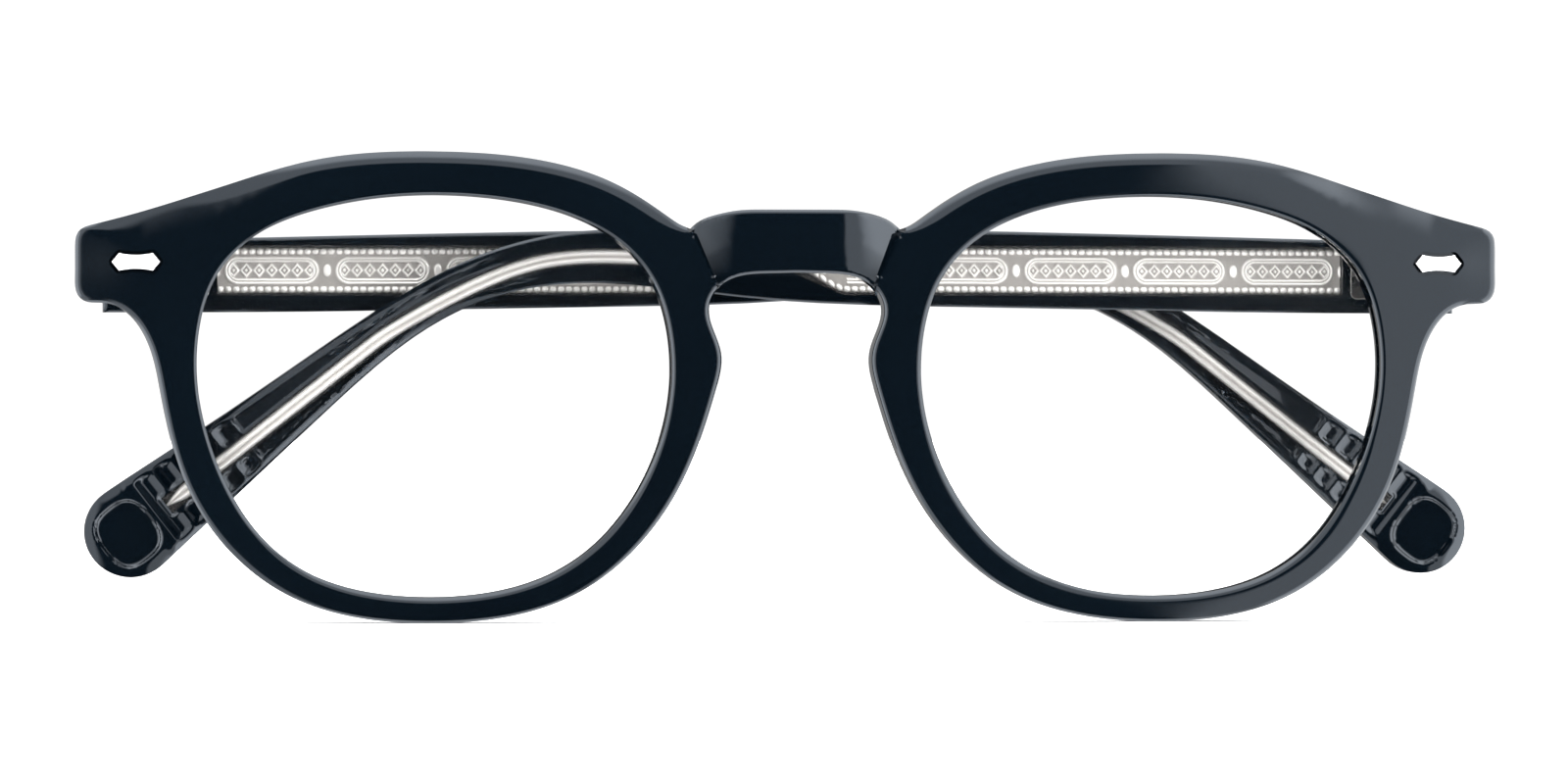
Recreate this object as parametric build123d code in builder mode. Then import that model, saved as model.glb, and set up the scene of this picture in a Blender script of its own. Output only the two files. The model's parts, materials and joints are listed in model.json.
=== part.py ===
from build123d import *
import os
from math import cos, radians, sin, sqrt

# Folded eyeglasses, in millimetres. +X is the wearer's left, -Y the way the wearer looks, +Z up.
# The rims stand on Z = 0, and the origin is below the middle of the folded glasses.

# Front
HALF_WIDTH = 69.65
FRONT_RADIUS = 405.0
FRONT_THICK = 4.0
END_PIECE_THICK = 4.0
END_BLOCK_X = 59.0
END_BLOCK_SLOPE = 3.0
BRIDGE_TOP = 40.1
BRIDGE_ARCH = 34.0
TALLEST = 60.0

# Lenses and their groove
GROOVE_DEPTH = 0.75
GROOVE_WIDTH = 1.7
LENS_THICK = 1.5
LENS_PLAY = 0.08
OPENING_STEPS = 24

# Nose pads, bonded to the back of the front
PAD_MIDDLE_Z = 23.0
PAD_SHRINK = 0.12

# Decorative plaques on the end pieces, each with two posts through to the hinge leaf
PLAQUE_X = 63.8
PLAQUE_Z = 35.0
PLAQUE_LENGTH = 4.7
PLAQUE_HEIGHT = 1.7
PLAQUE_THICK = 0.7
PLAQUE_PROUD = 0.1
PLAQUE_WAIST = 0.18
PLAQUE_POINT = 0.7
POCKET_MARGIN = 0.35
POST_RADIUS = 0.4
POST_SPACING = 2.4

# Hinges: three barrels on one screw
HINGE_X = 64.7
HINGE_Z = 33.9
AXIS_BEHIND_END_PIECE = 2.3
AXIS_TO_TEMPLE = 1.4
BARREL_RADIUS = 1.2
BARREL_HEIGHT = 1.7
BARREL_GAP = 0.1
LEAF_THICK = 0.8
FRONT_LEAF_X = (61.2, 66.0)
TEMPLE_LEAF_U = (1.0, 8.2)
TEMPLE_LEAF_HEIGHT = 4.6
LEAF_CORNER = 0.6
FRONT_NECK = 1.8
TEMPLE_NECK_AT_BARREL = (-1.2, 0.7)
TEMPLE_NECK_AT_LEAF = (-3.4, -1.4)
SCREW_RADIUS = 0.68
SCREW_BORE = 0.72
SCREW_HEAD_RADIUS = 1.05
SCREW_HEAD_HEIGHT = 0.45
SCREW_HEAD_ROUND = 0.15
SCREW_SLOT = 0.3
RIVET_U = (3.9, 6.7)
RIVET_RADIUS = 0.4
RIVET_HEAD_RADIUS = 0.7
RIVET_HEAD_HEIGHT = 0.2
RIVET_LENGTH = 2.2
HOLE_PLAY = 0.05

# Temples, in u along the temple from the hinge, w up, and depth from the inner face
TEMPLE_THICK = 3.0
BUTT_U = -2.1
TIP_RADIUS = 4.5
TIP_CENTRE = (128.9, -25.3)
INLAY_DEPTH = 1.4
WINDOW_U = (9.0, 59.0)
WINDOW_MIDDLE = 0.4
WINDOW_HEIGHT = 5.0
WINDOW_TAIL = 6.0
CORE_HEIGHT = 4.6
CORE_TAIL = 2.5
TAIL_MIDDLE = 1.1
TAIL_SLOPE = 0.1
CORE_THICK = 0.6
TONGUE_U = (2.6, 10.0)
TONGUE_HEIGHT = 2.0
WIRE_WIDTH = 1.2
WIRE_THICK = 1.0
CHANNEL_WIDTH = 1.8
DISH_RADIUS = 3.2
DISH_DEPTH = 0.6
RIB_COUNT = 5
RIB_PITCH = 2.25
RIB_DEPTH = 0.35
RIB_LENGTH = 5.6
RIB_SHORTER = 0.3
RIB_WIDTH = 1.5
RIB_FIRST = 4.3
ARM_SLOPE = 38.1

# How each temple lies when folded, in degrees: swing behind the front, and tilt of its top line
FOLD = {"left": 2.0, "right": 1.4}
TILT = {"left": 0.1, "right": 0.1}


def sagitta(x, radius):
    """Depth of a circle of this radius at a distance x from its apex."""
    return radius - sqrt(radius**2 - x**2)


END_BACK = sagitta(HALF_WIDTH, FRONT_RADIUS) + END_PIECE_THICK
AXIS_DEPTH = END_BACK + AXIS_BEHIND_END_PIECE
TIP_REACH = TIP_CENTRE[0] + TIP_RADIUS
DEPTH = AXIS_DEPTH + AXIS_TO_TEMPLE + TEMPLE_THICK + TIP_REACH * sin(radians(FOLD["right"]))
FRONT_Y = -DEPTH / 2
END_BACK_Y = FRONT_Y + END_BACK
AXIS_Y = FRONT_Y + AXIS_DEPTH
TEMPLE_Y = AXIS_Y + AXIS_TO_TEMPLE
BARREL_TOP = 1.5 * BARREL_HEIGHT + BARREL_GAP

os.makedirs("parts", exist_ok=True)


def save(part, name):
    part.label = name
    export_step(part, f"parts/{name}.step")


# Outlines of the front, seen from the front. The points are the wearer's left half.
BRIDGE_CORNER = (4.4, BRIDGE_TOP)
BRIDGE_SHOULDER = (7.8, 39.6)
BROW = [(10.2, 38.2), (12.1, 39.1), (17.6, 42.6), (24.0, 44.7), (34.8, 45.7), (46.5, 44.9), (55.5, 42.3)]
BROW_END = [(63.0, 39.95), (68.9, 38.4)]
END_TOP = (HALF_WIDTH, 37.6)
END_UNDER = [(HALF_WIDTH, 32.2), (69.3, 31.5)]
RIM_OUTER = [(68.4, 31.0), (64.7, 30.2), (62.6, 27.2), (61.4, 22.4), (58.6, 12.6), (50.1, 3.2), (35.3, 0)]
RIM_INNER = [(20.7, 3.2), (11.7, 12.6), (7.75, 23.0), (7.3, 26.1)]
KEYHOLE = [(8.1, 28.4), (8.6, 30.6), (7.1, 33.0), (3.6, 33.9), (0, BRIDGE_ARCH)]
OPENING_OUTER = [(34.8, 41.5), (46.9, 39.9), (55.0, 35.2), (57.9, 27.0), (56.4, 16.6), (49.6, 6.4)]
OPENING_INNER = [(35.3, 2.5), (21.4, 6.1), (13.9, 15.8), (12.15, 25.6), (15.0, 34.7), (23.4, 40.0)]

with BuildSketch(Plane.XZ.offset(1 - FRONT_Y)) as front_outline:
    with BuildLine():
        Line((0, BRIDGE_TOP), BRIDGE_CORNER)
        Spline(BRIDGE_CORNER, BRIDGE_SHOULDER, BROW[0], tangents=((1, 0), (0.6, -1)))
        Spline(*BROW, *BROW_END, tangents=((1, 0.1), (1, -0.25)))
        Spline(BROW_END[1], END_TOP, tangents=((1, -0.25), (0, -1)))
        Line(END_TOP, END_UNDER[0])
        Spline(*END_UNDER, RIM_OUTER[0])
        Spline(*RIM_OUTER, *RIM_INNER, *KEYHOLE)
        mirror(about=Plane.YZ)
    make_face()

with BuildSketch(Plane.XY.offset(-1)) as front_plan:
    reach = HALF_WIDTH + 2
    near_end = FRONT_Y + sagitta(reach, FRONT_RADIUS)
    block_y = FRONT_Y + FRONT_THICK + sagitta(END_BLOCK_X, FRONT_RADIUS - FRONT_THICK)
    block_flat = END_BLOCK_X + END_BLOCK_SLOPE
    with BuildLine():
        ThreePointArc((-reach, near_end), (0, FRONT_Y), (reach, near_end))
        Polyline((reach, near_end), (reach, END_BACK_Y), (block_flat, END_BACK_Y), (END_BLOCK_X, block_y))
        ThreePointArc((END_BLOCK_X, block_y), (0, FRONT_Y + FRONT_THICK), (-END_BLOCK_X, block_y))
        Polyline((-END_BLOCK_X, block_y), (-block_flat, END_BACK_Y), (-reach, END_BACK_Y), (-reach, near_end))
    make_face()

# Nose pad on the wearer's left: its nose side and rim side, then each section's depth and lean
PAD_NOSE_SIDE = [(8.9, 28.6), (7.7, 26.0), (8.4, 21.6), (9.9, 17.4)]
PAD_RIM_SIDE = [(9.9, 17.4), (11.6, 20.2), (11.2, 25.6), (8.9, 28.6)]
PAD_SECTIONS = [(-0.4, 0), (0.5, 0.15), (4.2, 1.3)]


def pad_section(depth, lean):
    """Outline of a nose pad at a depth behind the front, leaning away from the nose."""
    squeeze = 1 - PAD_SHRINK * lean
    with BuildSketch(Plane.XZ.offset(-FRONT_Y - FRONT_THICK - depth)) as section:
        with BuildLine():
            for side in (PAD_NOSE_SIDE, PAD_RIM_SIDE):
                Spline(*[(x + lean, PAD_MIDDLE_Z + (z - PAD_MIDDLE_Z) * squeeze) for x, z in side])
        make_face()
    return section.sketch


def lens_prism(grow):
    """The lens opening on the wearer's left, enlarged all round, through the whole depth."""
    opening = Spline(*OPENING_OUTER, *OPENING_INNER, periodic=True)
    steps = [index / OPENING_STEPS for index in range(OPENING_STEPS)]
    outward = [opening.tangent_at(step).rotate(Axis.Z, 90) for step in steps]
    grown = [opening.position_at(step) + way * grow for step, way in zip(steps, outward)]
    with BuildPart() as prism:
        with BuildSketch(Plane.XZ.offset(1 - FRONT_Y)):
            with BuildLine():
                Spline(*grown, periodic=True)
            make_face()
        extrude(amount=-DEPTH)
    return prism.part


def lens_slice(grow, thick):
    """The enlarged lens opening, this thick in the middle of the curved front."""
    near = (FRONT_THICK - thick) / 2
    middle = (0, FRONT_Y + FRONT_RADIUS)
    with BuildPart() as piece:
        add(lens_prism(grow))
        with BuildSketch(Plane.XY.offset(-1)):
            with Locations(middle):
                Circle(FRONT_RADIUS - near)
                Circle(FRONT_RADIUS - near - thick, mode=Mode.SUBTRACT)
        extrude(amount=TALLEST, mode=Mode.INTERSECT)
    return piece.part


# Plaque: a long six-sided plate with waisted long sides, square to the curved front
plaque_slope = PLAQUE_X / sqrt(FRONT_RADIUS**2 - PLAQUE_X**2)
plaque_out = Vector(plaque_slope, -1, 0).normalized()
plaque_spot = Vector(PLAQUE_X, FRONT_Y + sagitta(PLAQUE_X, FRONT_RADIUS), PLAQUE_Z)
plaque_seat = PLAQUE_THICK - PLAQUE_PROUD
plaque_plane = Plane(origin=plaque_spot - plaque_out * plaque_seat, x_dir=(1, plaque_slope, 0), z_dir=plaque_out)


def plaque_block(grow, thick):
    end = PLAQUE_LENGTH / 2
    corner = end - PLAQUE_POINT
    edge = PLAQUE_HEIGHT / 2
    waist = edge - PLAQUE_WAIST
    with BuildPart() as block:
        with BuildSketch(plaque_plane):
            with BuildLine():
                Line((-end, 0), (-corner, edge))
                ThreePointArc((-corner, edge), (0, waist), (corner, edge))
                Polyline((corner, edge), (end, 0), (corner, -edge))
                ThreePointArc((corner, -edge), (0, -waist), (-corner, -edge))
                Line((-corner, -edge), (-end, 0))
            make_face()
            if grow:
                offset(amount=grow)
        extrude(amount=thick)
    return block.part


def plaque_posts(radius):
    """Two posts straight back from inside the plaque to the end piece's rear face."""
    start = plaque_spot.Y + plaque_seat / 2
    with BuildPart() as posts:
        with BuildSketch(Plane.XZ.offset(-END_BACK_Y)):
            with Locations((PLAQUE_X, PLAQUE_Z)):
                with GridLocations(POST_SPACING, 0, 2, 1):
                    Circle(radius)
        extrude(amount=END_BACK_Y - start)
    return posts.part


# Front hinge leaf: a plate let into the end piece, with the top and bottom barrels
def barrel(low, high, radius):
    with BuildPart() as tube:
        with BuildSketch(Plane.XY.offset(HINGE_Z + low)):
            with Locations((HINGE_X, AXIS_Y)):
                Circle(radius)
        extrude(amount=high - low)
    return tube.part


leaf_x = (FRONT_LEAF_X[0] + FRONT_LEAF_X[1]) / 2
leaf_length = FRONT_LEAF_X[1] - FRONT_LEAF_X[0]

with BuildPart() as front_leaf_plate:
    with BuildSketch(Plane.XZ.offset(-END_BACK_Y)):
        with Locations((leaf_x, HINGE_Z)):
            RectangleRounded(leaf_length, 2 * BARREL_TOP, LEAF_CORNER)
    extrude(amount=LEAF_THICK)

with BuildPart() as front_leaf:
    add(front_leaf_plate.part)
    for level in (-1, 1):
        middle = level * (BARREL_HEIGHT + BARREL_GAP)
        add(barrel(middle - BARREL_HEIGHT / 2, middle + BARREL_HEIGHT / 2, BARREL_RADIUS))
        with BuildSketch(Plane.XY.offset(HINGE_Z + middle - BARREL_HEIGHT / 2)):
            with Locations((HINGE_X - BARREL_RADIUS + FRONT_NECK / 2, AXIS_Y - AXIS_BEHIND_END_PIECE / 2)):
                Rectangle(FRONT_NECK, AXIS_BEHIND_END_PIECE)
        extrude(amount=BARREL_HEIGHT)
    add(barrel(-BARREL_TOP, BARREL_TOP, SCREW_BORE), mode=Mode.SUBTRACT)
    add(plaque_posts(POST_RADIUS + HOLE_PLAY), mode=Mode.SUBTRACT)

with BuildPart() as hinge_screw:
    add(barrel(-BARREL_TOP, BARREL_TOP, SCREW_RADIUS))
    add(barrel(BARREL_TOP, BARREL_TOP + SCREW_HEAD_HEIGHT, SCREW_HEAD_RADIUS))
    fillet(hinge_screw.edges().sort_by(Axis.Z)[-1], radius=SCREW_HEAD_ROUND)
    with BuildSketch(Plane.XY.offset(HINGE_Z + BARREL_TOP + SCREW_HEAD_HEIGHT)):
        with Locations((HINGE_X, AXIS_Y)):
            Rectangle(3 * SCREW_HEAD_RADIUS, SCREW_SLOT)
    extrude(amount=-SCREW_HEAD_HEIGHT / 2, mode=Mode.SUBTRACT)

with BuildPart() as plaque:
    add(plaque_block(0, PLAQUE_THICK))
    add(plaque_posts(POST_RADIUS))

# Front frame
cuts = [
    lens_prism(0),
    lens_slice(GROOVE_DEPTH, GROOVE_WIDTH),
    plaque_block(POCKET_MARGIN, 2 * PLAQUE_THICK),
    plaque_posts(POST_RADIUS + HOLE_PLAY),
    front_leaf_plate.part,
]
cuts += [mirror(cut, about=Plane.YZ) for cut in cuts]

with BuildPart() as front_frame:
    extrude(front_outline.sketch, amount=-DEPTH)
    extrude(front_plan.sketch, amount=TALLEST, mode=Mode.INTERSECT)
    for cut in cuts:
        add(cut, mode=Mode.SUBTRACT)
save(front_frame.part, "front_frame")

with BuildPart() as nose_pad:
    loft([pad_section(depth, lean) for depth, lean in PAD_SECTIONS])
    add(front_frame.part, mode=Mode.SUBTRACT)

front_pieces = {
    "lens": lens_slice(GROOVE_DEPTH - LENS_PLAY, LENS_THICK),
    "nose_pad": nose_pad.part,
    "plaque": plaque.part,
    "front_hinge_leaf": front_leaf.part,
    "hinge_screw": hinge_screw.part,
}


# Temple outlines, in u and w. The temple tapers to the bend, then widens down to a round tip.
TEMPLE_TOP = [(BUTT_U, 3.1), (21, 3.8), (46, 4.3), (76, 4.4)]
TEMPLE_TOP += [(88, 3.7), (96, 1.25), (105.2, -3.9), (119.2, -13.5)]
TEMPLE_UNDER = [(109.8, -13.5), (101.7, -6.6), (95.2, -3.0), (87.5, -1.15)]
TEMPLE_UNDER += [(70, -2.2), (46, -3.2), (21, -3.6)]
BUTT_UNDER = (BUTT_U, -3.7)
TIP_TOP_SLOPE = 34.5
TIP_UNDER_SLOPE = 43.5
WIRE = [(59.0, 1.0), (78, 1.5), (88.5, 1.15), (95, -1.1), (104.6, -6.4)]
WIRE_END = (125.4, -22.8)


def tip_point(degrees):
    """A point on the round tip, by its direction from the tip's centre."""
    return (
        TIP_CENTRE[0] + TIP_RADIUS * cos(radians(degrees)),
        TIP_CENTRE[1] + TIP_RADIUS * sin(radians(degrees)),
    )


def heading(degrees):
    """The direction that falls this many degrees below u."""
    return (cos(radians(degrees)), -sin(radians(degrees)))


def temple_plane(side, depth):
    """The left temple folded flat, at a depth from its inner face, with u towards the tip and w up."""
    tilt = radians(TILT[side])
    along = (-cos(tilt), 0, sin(tilt))
    return Plane(origin=(HINGE_X, TEMPLE_Y + depth, HINGE_Z), x_dir=along, z_dir=(0, 1, 0))


def folded(part, side):
    """A temple piece from its flat place on the left to its folded place on its own side."""
    if side == "left":
        return part.rotate(Axis((HINGE_X, AXIS_Y, 0), (0, 0, 1)), FOLD[side])
    return mirror(part, about=Plane.YZ).rotate(Axis((-HINGE_X, AXIS_Y, 0), (0, 0, 1)), FOLD[side])


def wire_outline(side, depth, width):
    last_u, last_w = WIRE[-1]
    straight = (WIRE_END[0] - last_u, WIRE_END[1] - last_w)
    with BuildSketch(temple_plane(side, depth)) as outline:
        with BuildLine():
            bend = Spline(*WIRE, tangents=((1, 0.05), straight))
            Line(bend @ 1, WIRE_END)
        trace(line_width=width)
    return outline.sketch


def window_outline(side, depth, height, tail):
    """The long window with its tapered tail, or the plate inside it."""
    edge = height / 2
    tail_edge = tail * TAIL_SLOPE
    start, end = WINDOW_U
    with BuildSketch(temple_plane(side, depth)) as outline:
        with BuildLine():
            Polyline(
                (start, WINDOW_MIDDLE - edge),
                (start, WINDOW_MIDDLE + edge),
                (end, WINDOW_MIDDLE + edge),
                (end + tail, TAIL_MIDDLE + tail_edge),
                (end + tail, TAIL_MIDDLE - tail_edge),
                (end, WINDOW_MIDDLE - edge),
                close=True,
            )
        make_face()
    return outline.sketch


def make_core(side):
    """Engraved plate, its tongue under the hinge leaf, and the wire down to the tip."""
    start, end = TONGUE_U
    with BuildPart() as core:
        extrude(window_outline(side, INLAY_DEPTH, CORE_HEIGHT, CORE_TAIL), amount=-CORE_THICK)
        with BuildSketch(temple_plane(side, INLAY_DEPTH)):
            with Locations(((start + end) / 2, 0)):
                Rectangle(end - start, TONGUE_HEIGHT)
        extrude(amount=-CORE_THICK)
        extrude(wire_outline(side, INLAY_DEPTH, WIRE_WIDTH), amount=-WIRE_THICK)
    return core.part


def rivet_pins(side, radius, start, length):
    with BuildPart() as pins:
        with BuildSketch(temple_plane(side, start)):
            with Locations(*[(u, 0) for u in RIVET_U]):
                Circle(radius)
        extrude(amount=length)
    return pins.part


def make_rivets(side):
    with BuildPart() as rivets:
        add(rivet_pins(side, RIVET_RADIUS, 0, RIVET_LENGTH))
        add(rivet_pins(side, RIVET_HEAD_RADIUS, -RIVET_HEAD_HEIGHT, RIVET_HEAD_HEIGHT))
    return rivets.part


def leaf_plate(side):
    start, end = TEMPLE_LEAF_U
    with BuildPart() as plate:
        with BuildSketch(temple_plane(side, 0)):
            with Locations(((start + end) / 2, 0)):
                RectangleRounded(end - start, TEMPLE_LEAF_HEIGHT, LEAF_CORNER)
        extrude(amount=LEAF_THICK)
    return plate.part


def make_temple_leaf(side):
    """Plate let into the temple's inner face, with the middle barrel on a short neck."""
    edge = BARREL_HEIGHT / 2
    leaf_y = TEMPLE_Y + LEAF_THICK / 2
    inner, outer = TEMPLE_NECK_AT_BARREL
    far_inner, far_outer = TEMPLE_NECK_AT_LEAF
    with BuildPart() as leaf:
        add(leaf_plate(side))
        add(barrel(-edge, edge, BARREL_RADIUS))
        with BuildSketch(Plane.XY.offset(HINGE_Z - edge)):
            with BuildLine():
                Polyline(
                    (HINGE_X + outer, AXIS_Y),
                    (HINGE_X + inner, AXIS_Y),
                    (HINGE_X + far_inner, leaf_y),
                    (HINGE_X + far_outer, leaf_y),
                    close=True,
                )
            make_face()
        extrude(amount=BARREL_HEIGHT)
        add(barrel(-BARREL_TOP, BARREL_TOP, SCREW_BORE), mode=Mode.SUBTRACT)
        add(rivet_pins(side, RIVET_RADIUS + HOLE_PLAY, 0, RIVET_LENGTH), mode=Mode.SUBTRACT)
    return leaf.part


def rib_cuts(side):
    """Shallow grooves across the arm just above the tip."""
    up_the_arm = heading(ARM_SLOPE + 180)
    with BuildPart() as grooves:
        with BuildSketch(temple_plane(side, 0)):
            for index in range(RIB_COUNT):
                along = RIB_FIRST + index * RIB_PITCH
                spot = (TIP_CENTRE[0] + along * up_the_arm[0], TIP_CENTRE[1] + along * up_the_arm[1])
                with Locations(Location((*spot, 0), (0, 0, -ARM_SLOPE))):
                    SlotOverall(RIB_LENGTH - RIB_SHORTER * index, RIB_WIDTH, rotation=90)
        extrude(amount=RIB_DEPTH)
    return grooves.part


def dish_cut(side):
    """A shallow round hollow in the tip's inner face."""
    ball = (DISH_RADIUS**2 + DISH_DEPTH**2) / (2 * DISH_DEPTH)
    centre = temple_plane(side, DISH_DEPTH - ball).from_local_coords(Vector(*TIP_CENTRE, 0))
    with BuildPart() as dish:
        with Locations(centre):
            Sphere(ball)
    return dish.part


def make_blank(side):
    tip_top = tip_point(90 - TIP_TOP_SLOPE)
    tip_under = tip_point(270 - TIP_UNDER_SLOPE)
    up_the_arm = heading(TIP_UNDER_SLOPE + 180)
    with BuildPart() as blank:
        with BuildSketch(temple_plane(side, 0)):
            with BuildLine():
                Spline(*TEMPLE_TOP, tip_top, tangents=((1, 0.05), heading(TIP_TOP_SLOPE)))
                ThreePointArc(tip_top, tip_point(-45), tip_under)
                Spline(tip_under, *TEMPLE_UNDER, BUTT_UNDER, tangents=(up_the_arm, (-1, 0)))
                Line(BUTT_UNDER, TEMPLE_TOP[0])
            make_face()
        extrude(amount=TEMPLE_THICK)
    return blank.part


def inlay_space(side):
    with BuildPart() as space:
        extrude(window_outline(side, 0, WINDOW_HEIGHT, WINDOW_TAIL), amount=INLAY_DEPTH)
        extrude(wire_outline(side, 0, CHANNEL_WIDTH), amount=INLAY_DEPTH)
    return space.part


for side in ("left", "right"):
    core = make_core(side)
    rivets = make_rivets(side)
    temple_leaf = make_temple_leaf(side)
    grooves = rib_cuts(side)
    space = inlay_space(side)

    with BuildPart() as core_with_holes:
        add(core)
        add(rivet_pins(side, RIVET_RADIUS + HOLE_PLAY, 0, RIVET_LENGTH), mode=Mode.SUBTRACT)
    with BuildPart() as inlay:
        add(space)
        add(core, mode=Mode.SUBTRACT)
        add(grooves, mode=Mode.SUBTRACT)
    with BuildPart() as shell:
        add(make_blank(side))
        add(space, mode=Mode.SUBTRACT)
        add(core, mode=Mode.SUBTRACT)
        add(leaf_plate(side), mode=Mode.SUBTRACT)
        add(rivet_pins(side, RIVET_RADIUS + HOLE_PLAY, 0, RIVET_LENGTH), mode=Mode.SUBTRACT)
        add(grooves, mode=Mode.SUBTRACT)
        add(dish_cut(side), mode=Mode.SUBTRACT)

    save(folded(shell.part, side), f"temple_shell_{side}")
    save(folded(inlay.part, side), f"clear_inlay_{side}")
    save(folded(core_with_holes.part, side), f"temple_core_{side}")
    save(folded(rivets, side), f"temple_rivets_{side}")
    save(folded(temple_leaf, side), f"temple_hinge_leaf_{side}")

    for name, part in front_pieces.items():
        save(part if side == "left" else mirror(part, about=Plane.YZ), f"{name}_{side}")

print("depth", round(DEPTH, 2), "front at", round(FRONT_Y, 2), "hinge axis at", round(AXIS_Y, 2))
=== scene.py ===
"""Folded eyeglasses: black front, clear lenses, and temples with a metal core in a clear window.

Shapes are worked out in millimetres and turned into metres when a mesh is made. Each large piece takes its
outlines from the faces of its CAD node. x is the wearer's left, y points away from the camera and z is up.
"""

import json
from math import cos, pi, radians, sin

import bmesh
import bpy
import numpy as np
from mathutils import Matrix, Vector
from mathutils.geometry import delaunay_2d_cdt


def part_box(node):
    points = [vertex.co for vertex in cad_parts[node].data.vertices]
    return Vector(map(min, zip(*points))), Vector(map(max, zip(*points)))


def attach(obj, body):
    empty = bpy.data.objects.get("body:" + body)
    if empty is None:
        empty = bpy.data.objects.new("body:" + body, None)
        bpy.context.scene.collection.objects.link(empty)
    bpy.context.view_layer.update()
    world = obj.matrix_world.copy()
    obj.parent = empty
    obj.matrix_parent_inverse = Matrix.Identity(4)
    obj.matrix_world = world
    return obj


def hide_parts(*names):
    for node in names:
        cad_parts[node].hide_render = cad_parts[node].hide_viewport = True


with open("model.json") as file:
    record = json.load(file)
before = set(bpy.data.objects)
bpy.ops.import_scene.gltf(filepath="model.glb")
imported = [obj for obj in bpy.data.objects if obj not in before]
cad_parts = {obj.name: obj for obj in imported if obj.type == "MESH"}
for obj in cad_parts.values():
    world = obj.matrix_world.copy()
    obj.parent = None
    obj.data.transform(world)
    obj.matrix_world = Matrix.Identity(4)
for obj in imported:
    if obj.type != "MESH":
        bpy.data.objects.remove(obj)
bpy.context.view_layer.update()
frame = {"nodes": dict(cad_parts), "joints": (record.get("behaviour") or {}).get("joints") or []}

MM = 0.001
SIDES = ("left", "right")

# Front, as in the CAD part
FRONT_RADIUS = 405.0
FRONT_THICK = 4.0
PLAQUE_PROUD = 0.1
POCKET_DEPTH = 0.6
GROOVE_DEPTH = 0.75
GROOVE_WIDTH = 1.7
LENS_THICK = 1.5

# Temples, as in the CAD part: u runs from the hinge to the tip, w is up and depth is from the inner face
AXIS_TO_TEMPLE = 1.4
TEMPLE_THICK = 3.0
FOLD = {"left": 2.0, "right": 1.4}
TILT = {"left": 0.1, "right": 0.1}
INLAY_DEPTH = 1.4
WINDOW_U = (9.0, 59.0)
WINDOW_MIDDLE = 0.4
PLATE_HALF = 2.25
PLATE_THICK = 0.6
WIRE = ((59.0, 1.0), (78, 1.5), (88.5, 1.15), (95, -1.1), (104.6, -6.4))
WIRE_END = (125.4, -22.8)
WIRE_HALF = 0.7
ARM_SLOPE = 38.1
TIP_CENTRE = (128.9, -25.3)

hinge_place = [c / MM for c in frame["joints"][0]["pos_m"]]
HINGE_X, AXIS_Y, HINGE_Z = abs(hinge_place[0]), hinge_place[1], hinge_place[2]
TEMPLE_Y = AXIS_Y + AXIS_TO_TEMPLE
FRONT_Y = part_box("front_frame")[0].y / MM
END_BACK_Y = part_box("front_frame")[1].y / MM


# ---------------------------------------------------------------- small helpers


def smoothstep(low, high, value):
    t = np.clip((np.asarray(value, float) - low) / (high - low), 0, 1)
    return t * t * (3 - 2 * t)


def sagitta(x, radius=FRONT_RADIUS):
    """How far a cylinder's surface lies behind its apex, at x."""
    return radius - np.sqrt(radius**2 - np.asarray(x, float) ** 2)


def from_front(points):
    """World millimetres for (x, z, depth) points of the front."""
    return points[:, (0, 2, 1)]


def to_front(points):
    """(x, z, depth) points of the front for world millimetres."""
    return points[:, (0, 2, 1)]


def turned(points, side, sign):
    """Points turned about the hinge by the fold angle."""
    angle = sign * radians(FOLD[side])
    centre = np.array((HINGE_X if side == "left" else -HINGE_X, AXIS_Y))
    flat = points[:, :2] - centre
    out = points.copy()
    out[:, 0] = centre[0] + flat[:, 0] * cos(angle) - flat[:, 1] * sin(angle)
    out[:, 1] = centre[1] + flat[:, 0] * sin(angle) + flat[:, 1] * cos(angle)
    return out


def from_temple(side):
    """A function from (u, w, depth) in a temple to world millimetres."""
    tilt = radians(TILT[side])

    def place(points):
        u, w, depth = points.T
        x = HINGE_X - u * cos(tilt) + w * sin(tilt)
        z = HINGE_Z + u * sin(tilt) + w * cos(tilt)
        x = x if side == "left" else -x
        return turned(np.stack((x, TEMPLE_Y + depth, z), 1), side, 1)

    return place


def to_temple(side):
    """A function from world millimetres to (u, w, depth) in a temple."""
    tilt = radians(TILT[side])

    def place(points):
        flat = turned(points, side, -1)
        x = flat[:, 0] if side == "left" else -flat[:, 0]
        along, up = HINGE_X - x, flat[:, 2] - HINGE_Z
        u = along * cos(tilt) + up * sin(tilt)
        w = -along * sin(tilt) + up * cos(tilt)
        return np.stack((u, w, flat[:, 1] - TEMPLE_Y), 1)

    return place


# ---------------------------------------------------------------- outlines

WELD_PER_MM = 500
LINE_CHUNK = 2000


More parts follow.
